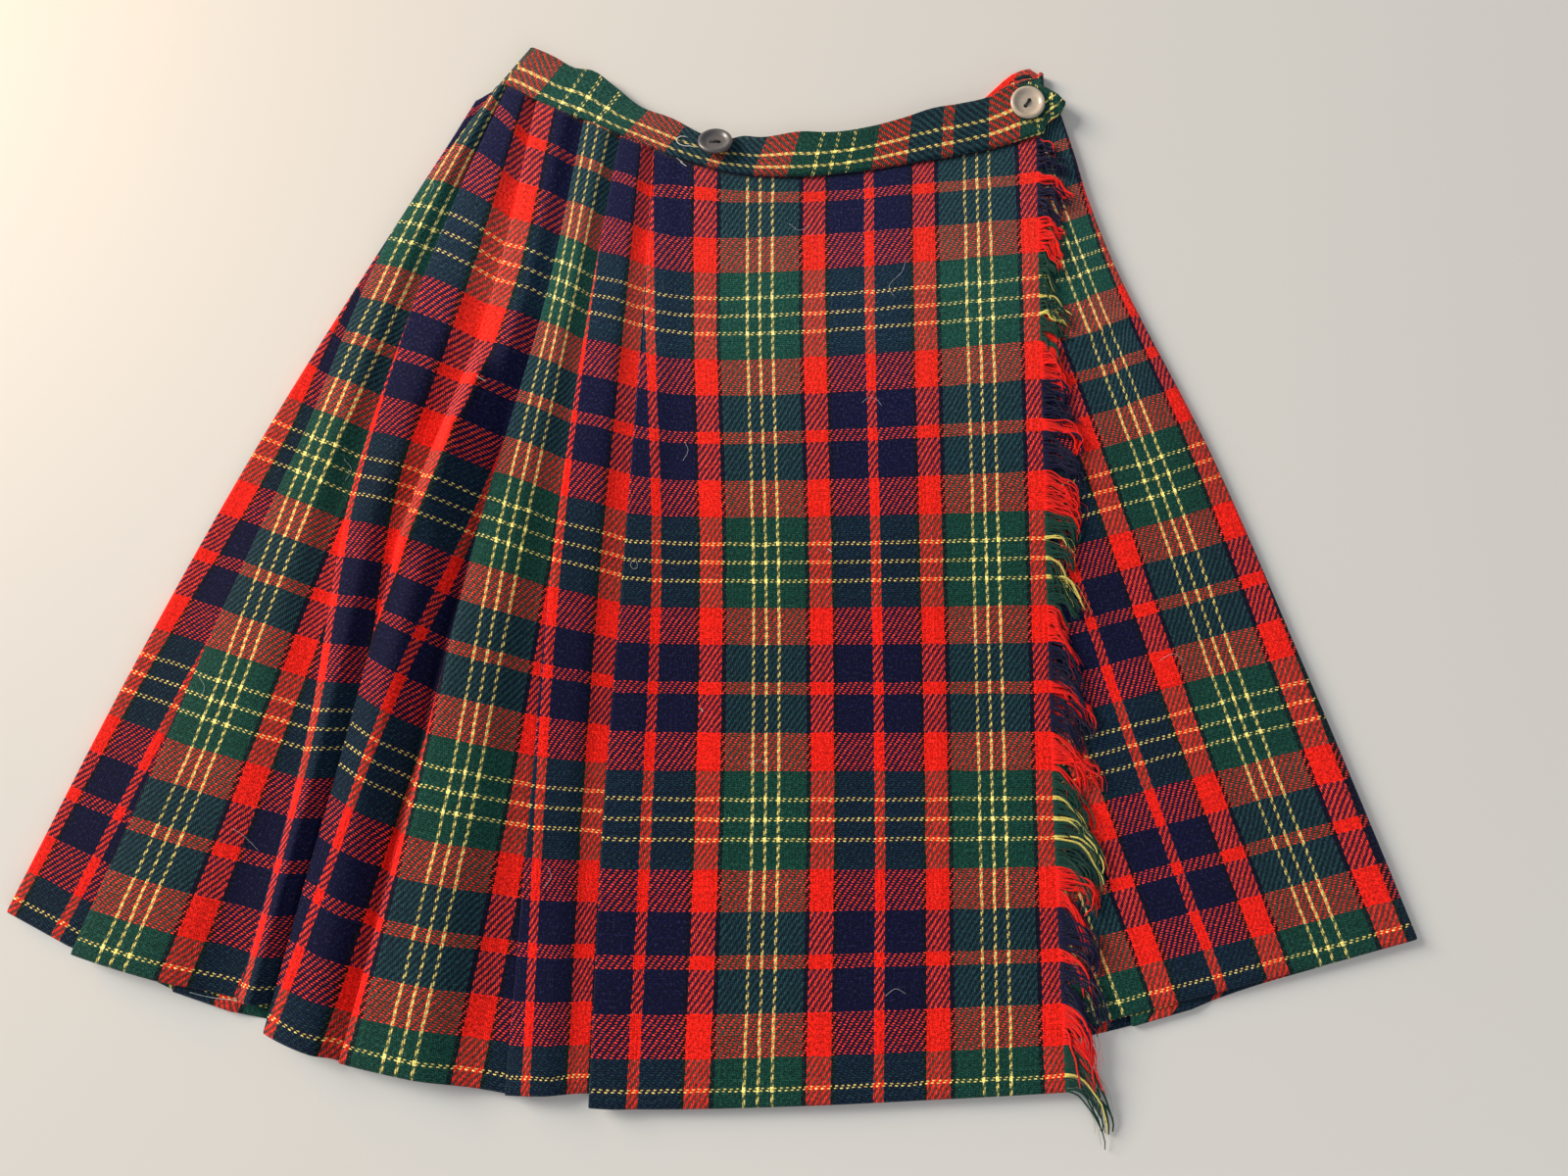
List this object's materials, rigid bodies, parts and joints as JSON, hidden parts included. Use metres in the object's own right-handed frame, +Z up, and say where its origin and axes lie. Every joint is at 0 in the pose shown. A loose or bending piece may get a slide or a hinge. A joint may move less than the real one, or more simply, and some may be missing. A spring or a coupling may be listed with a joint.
{
  "type": "pleated tartan skirt",
  "caption": "Knee-length wool wrap skirt laid flat: flat fringed apron over knife pleats, shaped waistband with rounded tab end and sew-through buttons",
  "frame": {"origin": "the middle of the box round the skirt, on the surface it lies on", "axes": "+X across the skirt to the wearer's left side, the viewer's right; +Y from the hem to the waistband; +Z up, out of the front of the skirt"},
  "size_m": [0.8091, 0.6576, 0.0179],
  "materials": {
    "tartan_wool": "brushed wool twill, red, navy, green and yellow tartan",
    "fringe_yarn": "loose wool weft threads, fuzzy",
    "button_taupe": "satin, horn-like",
    "button_grey": "satin, smoky grey"
  },
  "bodies": {
    "root": {"over_apron": "tartan_wool", "left_pleats": "tartan_wool", "under_apron": "tartan_wool", "back_pleats": "tartan_wool", "waistband": "tartan_wool", "fringe": "fringe_yarn", "button_tab": "button_taupe", "button_band": "button_grey"}
  },
  "joints": []
}
